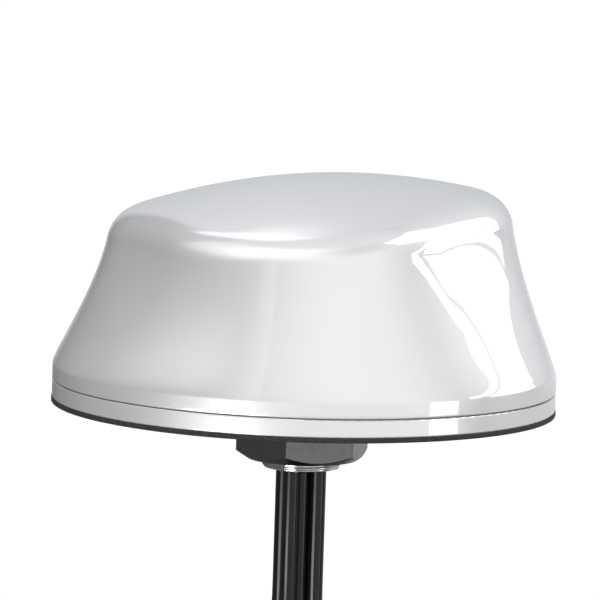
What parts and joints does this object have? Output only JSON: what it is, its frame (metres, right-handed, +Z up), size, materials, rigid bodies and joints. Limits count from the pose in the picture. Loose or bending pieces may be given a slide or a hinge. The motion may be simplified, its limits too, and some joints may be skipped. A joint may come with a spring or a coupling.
{
  "type": "bolt-mount multi-band dome antenna",
  "caption": "White bolt-through dome antenna for satellite navigation, cellular and Wi-Fi, on a gasketed base with a nutted hollow stud and hanging coaxial tails ending in plugs.",
  "frame": {"origin": "on the stud's axis, in the plane of the gasket's underside", "axes": "+Z up along the stud's axis out of the panel, -Y the side that the picture shows"},
  "size_m": [0.1604, 0.1604, 0.3731],
  "materials": {
    "white_asa": "smooth glossy moulded, weather-resistant",
    "foam": "matte closed-cell foam with a fine grain",
    "seal_rubber": "satin moulded cord",
    "stainless": "bright machined",
    "plane_aluminium": "satin rolled sheet",
    "stud_zinc": "bright plated thread",
    "potting": "poured black resin",
    "washer_steel": "dark plated spring steel",
    "nut_black": "black zinc-nickel, satin",
    "board_green": "green solder mask",
    "brass_nickel": "nickel-plated",
    "ceramic": "fired ceramic",
    "silver": "fired silver paste",
    "tin_can": "tinned sheet",
    "chip_black": "moulded epoxy",
    "copper": "etched copper",
    "board_fr4": "bare glass-epoxy laminate",
    "holder_nylon": "natural nylon",
    "lead_fep": "translucent brown fluoropolymer",
    "cable_jacket": "smooth extruded black, slightly glossy",
    "gold": "gold-plated brass",
    "nickel": "nickel-plated brass",
    "heat_shrink": "shrunk polyolefin tube",
    "ptfe": "white fluoropolymer",
    "marker_blue": "plain sleeve",
    "marker_grey": "plain sleeve",
    "marker_green": "plain sleeve"
  },
  "bodies": {
    "antenna": {"radome": "white_asa", "base_housing": "white_asa", "mounting_gasket": "foam", "radome_seal": "seal_rubber", "radome_screws": "stainless", "ground_plane": "plane_aluminium", "ground_plane_screws": "stainless", "threaded_stud": "stud_zinc", "stud_seal": "seal_rubber", "stud_screws": "stainless", "cable_potting": "potting", "gnss_board": "board_green", "gnss_standoffs": "brass_nickel", "gnss_board_screws": "stainless", "gnss_lower_patch": "ceramic", "gnss_upper_patch": "ceramic", "gnss_electrodes": "silver", "gnss_shield_can": "tin_can", "gnss_chips": "chip_black", "cellular_radiators": "copper", "wifi_radiators": "copper", "holder_screws": "stainless", "inner_leads": "lead_fep", "plug_insulators": "ptfe", "plug_contacts": "gold", "cellular_board_1": "board_fr4", "cellular_holder_1": "holder_nylon", "cellular_board_2": "board_fr4", "cellular_holder_2": "holder_nylon", "wifi_board_1": "board_fr4", "wifi_holder_1": "holder_nylon", "wifi_board_2": "board_fr4", "wifi_holder_2": "holder_nylon", "cable_gnss": "cable_jacket", "plug_shell_gnss": "gold", "plug_boot_gnss": "heat_shrink", "marker_sleeve_gnss": "marker_blue", "cable_cellular_1": "cable_jacket", "plug_shell_cellular_1": "gold", "plug_boot_cellular_1": "heat_shrink", "marker_sleeve_cellular_1": "marker_grey", "cable_cellular_2": "cable_jacket", "plug_shell_cellular_2": "gold", "plug_boot_cellular_2": "heat_shrink", "marker_sleeve_cellular_2": "marker_grey", "cable_wifi_1": "cable_jacket", "plug_shell_wifi_1": "gold", "plug_boot_wifi_1": "heat_shrink", "marker_sleeve_wifi_1": "marker_green", "cable_wifi_2": "cable_jacket", "plug_shell_wifi_2": "gold", "plug_boot_wifi_2": "heat_shrink", "marker_sleeve_wifi_2": "marker_green"},
    "washer": {"lock_washer": "washer_steel"},
    "nut": {"hex_nut": "nut_black"},
    "coupling_nut_gnss": {"coupling_nut_gnss": "nickel"},
    "coupling_nut_cellular_1": {"coupling_nut_cellular_1": "nickel"},
    "coupling_nut_cellular_2": {"coupling_nut_cellular_2": "nickel"},
    "coupling_nut_wifi_1": {"coupling_nut_wifi_1": "nickel"},
    "coupling_nut_wifi_2": {"coupling_nut_wifi_2": "nickel"}
  },
  "joints": [
    {"name": "thread_travel", "type": "slide", "parent": "antenna", "child": "washer", "axis": [0, 0, -1], "range_m": [-0.00282, 0.0127]},
    {"name": "nut_turn", "type": "hinge", "parent": "washer", "child": "nut", "pos_m": [0, 0, 0], "axis": [0, 0, -1], "range_deg": [-720, 3240]},
    {"name": "coupling_turn_gnss", "type": "hinge", "parent": "antenna", "child": "coupling_nut_gnss", "pos_m": [-0.00248, -0.00219, -0.278], "axis": [-0.02, 0.032, -0.9993], "continuous": true},
    {"name": "coupling_turn_cellular_1", "type": "hinge", "parent": "antenna", "child": "coupling_nut_cellular_1", "pos_m": [0.02049, 0.00056, -0.27301], "axis": [0.0509, 0.0391, -0.9979], "continuous": true},
    {"name": "coupling_turn_cellular_2", "type": "hinge", "parent": "antenna", "child": "coupling_nut_cellular_2", "pos_m": [-0.01983, 0.00934, -0.27502], "axis": [-0.0279, 0.0758, -0.9967], "continuous": true},
    {"name": "coupling_turn_wifi_1", "type": "hinge", "parent": "antenna", "child": "coupling_nut_wifi_1", "pos_m": [-0.01092, -0.0209, -0.27103], "axis": [-0.0805, -0.0508, -0.9955], "continuous": true},
    {"name": "coupling_turn_wifi_2", "type": "hinge", "parent": "antenna", "child": "coupling_nut_wifi_2", "pos_m": [0.01393, 0.01804, -0.27402], "axis": [0.079, 0.0263, -0.9965], "continuous": true}
  ],
  "couplings": [
    {"joint": "thread_travel", "follows": "nut_turn", "m_per_rad": 0.00022459}
  ]
}
